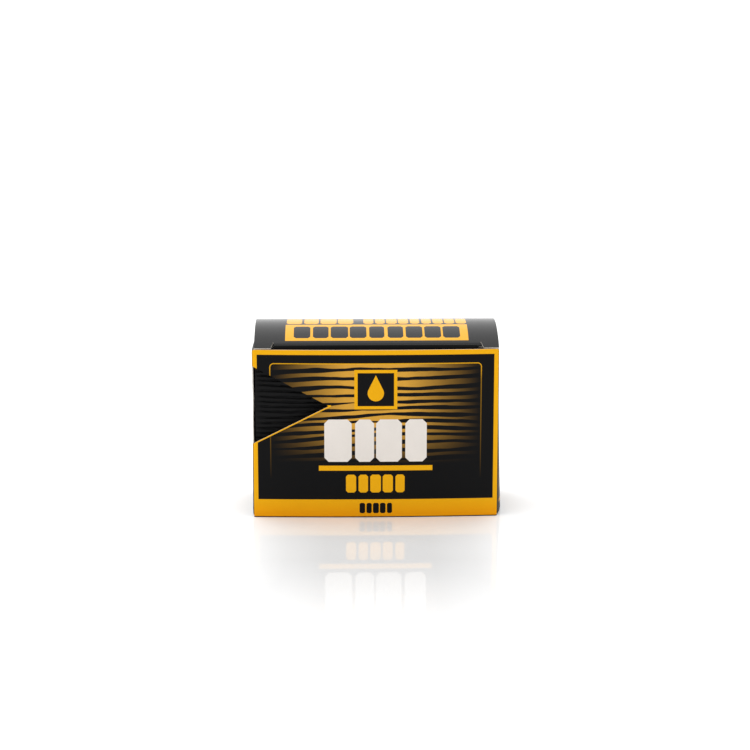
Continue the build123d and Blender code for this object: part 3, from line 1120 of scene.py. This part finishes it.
def make_foam():
    """A foam grip: rounded at the back, its faces crowned and its long sides drawn in."""
    centre = [(a + b) / 2 for a, b in zip(FOAM_LOW, FOAM_HIGH)]
    half = [(b - a) / 2 for a, b in zip(FOAM_LOW, FOAM_HIGH)]
    counts = (56, 22, 38)
    shell = bmesh.new()
    seen = {}

    def vert(place):
        key = tuple(round(c, 5) for c in place)
        if key not in seen:
            seen[key] = shell.verts.new(key)
        return seen[key]

    for axis in range(3):
        first, second = (axis + 1) % 3, (axis + 2) % 3
        for end in (-1, 1):
            for i in range(counts[first]):
                for j in range(counts[second]):
                    ring = []
                    for di, dj in ((0, 0), (1, 0), (1, 1), (0, 1)):
                        place = [0.0] * 3
                        place[axis] = float(end)
                        place[first] = 2 * (i + di) / counts[first] - 1
                        place[second] = 2 * (j + dj) / counts[second] - 1
                        ring.append(vert(place))
                    shell.faces.new(ring if end > 0 else ring[::-1])
    radius = 2.6
    for v in shell.verts:
        unit = [math.sin(c * math.pi / 2) * 0.35 + c * 0.65 for c in v.co]
        place = [u * h for u, h in zip(unit, half)]
        core = [max(-(h - radius), min(h - radius, p)) for p, h in zip(place, half)]
        if place[1] < 0:
            core[1] = place[1]
        rim = Vector(place) - Vector(core)
        if rim.length > 1e-6:
            rim = rim.normalized() * max(abs(r) for r in rim)
        place = Vector(core) + rim
        waist = 1 - abs(unit[0]) ** 2.4
        grip = math.exp(-(((unit[1] - 0.15) / 0.34) ** 2))
        place.z *= 1 - 0.035 * waist * grip
        place.x *= 1 - 0.012 * (1 - unit[2] ** 2) * grip
        if unit[1] > 0:
            crown = (1 - unit[0] ** 2) * (1 - unit[2] ** 2)
            place.y -= 0.9 * (1 - crown) * unit[1]
        v.co = (place + Vector(centre)) * MM
    bmesh.ops.recalc_face_normals(shell, faces=shell.faces)
    mesh = bpy.data.meshes.new("foam_grip")
    shell.to_mesh(mesh)
    shell.free()
    mesh.polygons.foreach_set("use_smooth", [True] * len(mesh.polygons))
    mesh.set_sharp_from_angle(angle=math.radians(60))
    mesh.materials.append(foam_finish())
    grip = bpy.data.objects.new("foam_grip", mesh)
    bpy.context.collection.objects.link(grip)
    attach(grip, "block")
    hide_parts("foam_body")


make_clay_pad()
make_bond()
make_foam()


# ---- stage --------------------------------------------------------------------------
def floor_finish():
    """A pale glossy table that mirrors the carton's foot; the mirror dies away further out. Its
    colour is greyer round the carton's foot: painted shade and painted reflection of the dark
    carton.
    """
    material, tree, shader = start_material("pale_table")
    split = tree.nodes.new("ShaderNodeSeparateXYZ")
    tree.links.new(object_place(tree), split.inputs[0])
    x, y = Value(tree, split.outputs[0]), Value(tree, split.outputs[1])
    away = (abs(x) - 0.050).most(abs(y) - 0.024)
    mirror = away.ramp(0.225, 0.0) * abs(x).ramp(0.070, 0.020)
    further = away.ramp(0.0, 0.06)
    # Painted shade: the glossy layer's colour greys over the first 60 mm out from the carton.
    grey = ink(tree, (0.94, 0.94, 0.94), (0.62, 0.62, 0.62), further)
    tree.links.new(grey, shader.inputs["Base Color"])
    shader.inputs["Roughness"].default_value = 0.03
    shader.inputs["Specular IOR Level"].default_value = 0.8
    plain = tree.nodes.new("ShaderNodeBsdfDiffuse")
    # Painted shade and painted reflection: the plain colour is darker in a strip in front of and
    # behind the carton, across most of its width.
    outside_painted_shade = abs(x).ramp(0.035, 0.062).most(away.ramp(0.08, 0.16))
    tree.links.new(ink(tree, (0.80, 0.80, 0.80), (0.97, 0.97, 0.97), outside_painted_shade), plain.inputs["Color"])
    blend = tree.nodes.new("ShaderNodeMixShader")
    out = tree.nodes["Material Output"]
    tree.links.new(mirror.socket, blend.inputs[0])
    tree.links.new(plain.outputs[0], blend.inputs[1])
    tree.links.new(shader.outputs[0], blend.inputs[2])
    tree.links.new(blend.outputs[0], out.inputs["Surface"])
    return material


def make_stage():
    half = 4.0
    mesh = bpy.data.meshes.new("table_top")
    corners = [(-half, -half, 0), (half, -half, 0), (half, half, 0), (-half, half, 0)]
    mesh.from_pydata(corners, [], [(0, 1, 2, 3)])
    mesh.materials.append(floor_finish())
    floor = bpy.data.objects.new("table_top", mesh)
    bpy.context.collection.objects.link(floor)


FRONT_LIGHT, BACK_LIGHT = 0.78, 1.38


def soft_light(name, place, aim, size, watts):
    lamp = bpy.data.lights.new(name, "AREA")
    lamp.shape, lamp.size, lamp.energy = "DISK", size, watts
    lamp_object = bpy.data.objects.new(name, lamp)
    lamp_object.location = place
    lamp_object.visible_glossy = False
    lamp_object.rotation_euler = (Vector(aim) - Vector(place)).to_track_quat("-Z", "Y").to_euler()
    bpy.context.collection.objects.link(lamp_object)


def make_studio():
    """A white room, a little dimmer on the camera's side, with a wide softbox overhead."""
    world = bpy.data.worlds.new("white_room")
    world.use_nodes = True
    tree = world.node_tree
    background = tree.nodes["Background"]
    background.inputs["Color"].default_value = (1, 1, 1, 1)
    around = tree.nodes.new("ShaderNodeTexCoord")
    split = tree.nodes.new("ShaderNodeSeparateXYZ")
    tree.links.new(around.outputs["Generated"], split.inputs[0])
    lit = Value(tree, split.outputs[1]).ramp(-0.9, 0.7) * (BACK_LIGHT - FRONT_LIGHT) + FRONT_LIGHT
    seen = tree.nodes.new("ShaderNodeLightPath")
    strength = lit.most(Value(tree, seen.outputs["Is Camera Ray"]) * 1.0)
    tree.links.new(strength.socket, background.inputs["Strength"])
    bpy.context.scene.world = world
    soft_light("overhead_softbox", (-0.25, 0.1, 1.3), (0, 0, 0), 1.4, 8.0)
    bpy.context.scene.view_settings.view_transform = "Standard"


def make_camera():
    target = Vector((-0.29, -22.0, 35.0)) * MM
    azimuth, elevation = math.radians(-1.36), math.radians(12.12)
    look_down = math.radians(10.04)
    distance = 0.650
    lens = bpy.data.cameras.new("product_lens")
    lens.lens, lens.sensor_width = 76.6, 36.0
    camera = bpy.data.objects.new("product_camera", lens)

    def direction(angle):
        flat = math.cos(angle)
        return Vector((math.sin(azimuth) * flat, -math.cos(azimuth) * flat, math.sin(angle)))

    camera.location = target + direction(elevation) * distance
    camera.rotation_euler = (-direction(look_down)).to_track_quat("-Z", "Y").to_euler()
    bpy.context.collection.objects.link(camera)
    bpy.context.scene.camera = camera


make_stage()
make_studio()
make_camera()
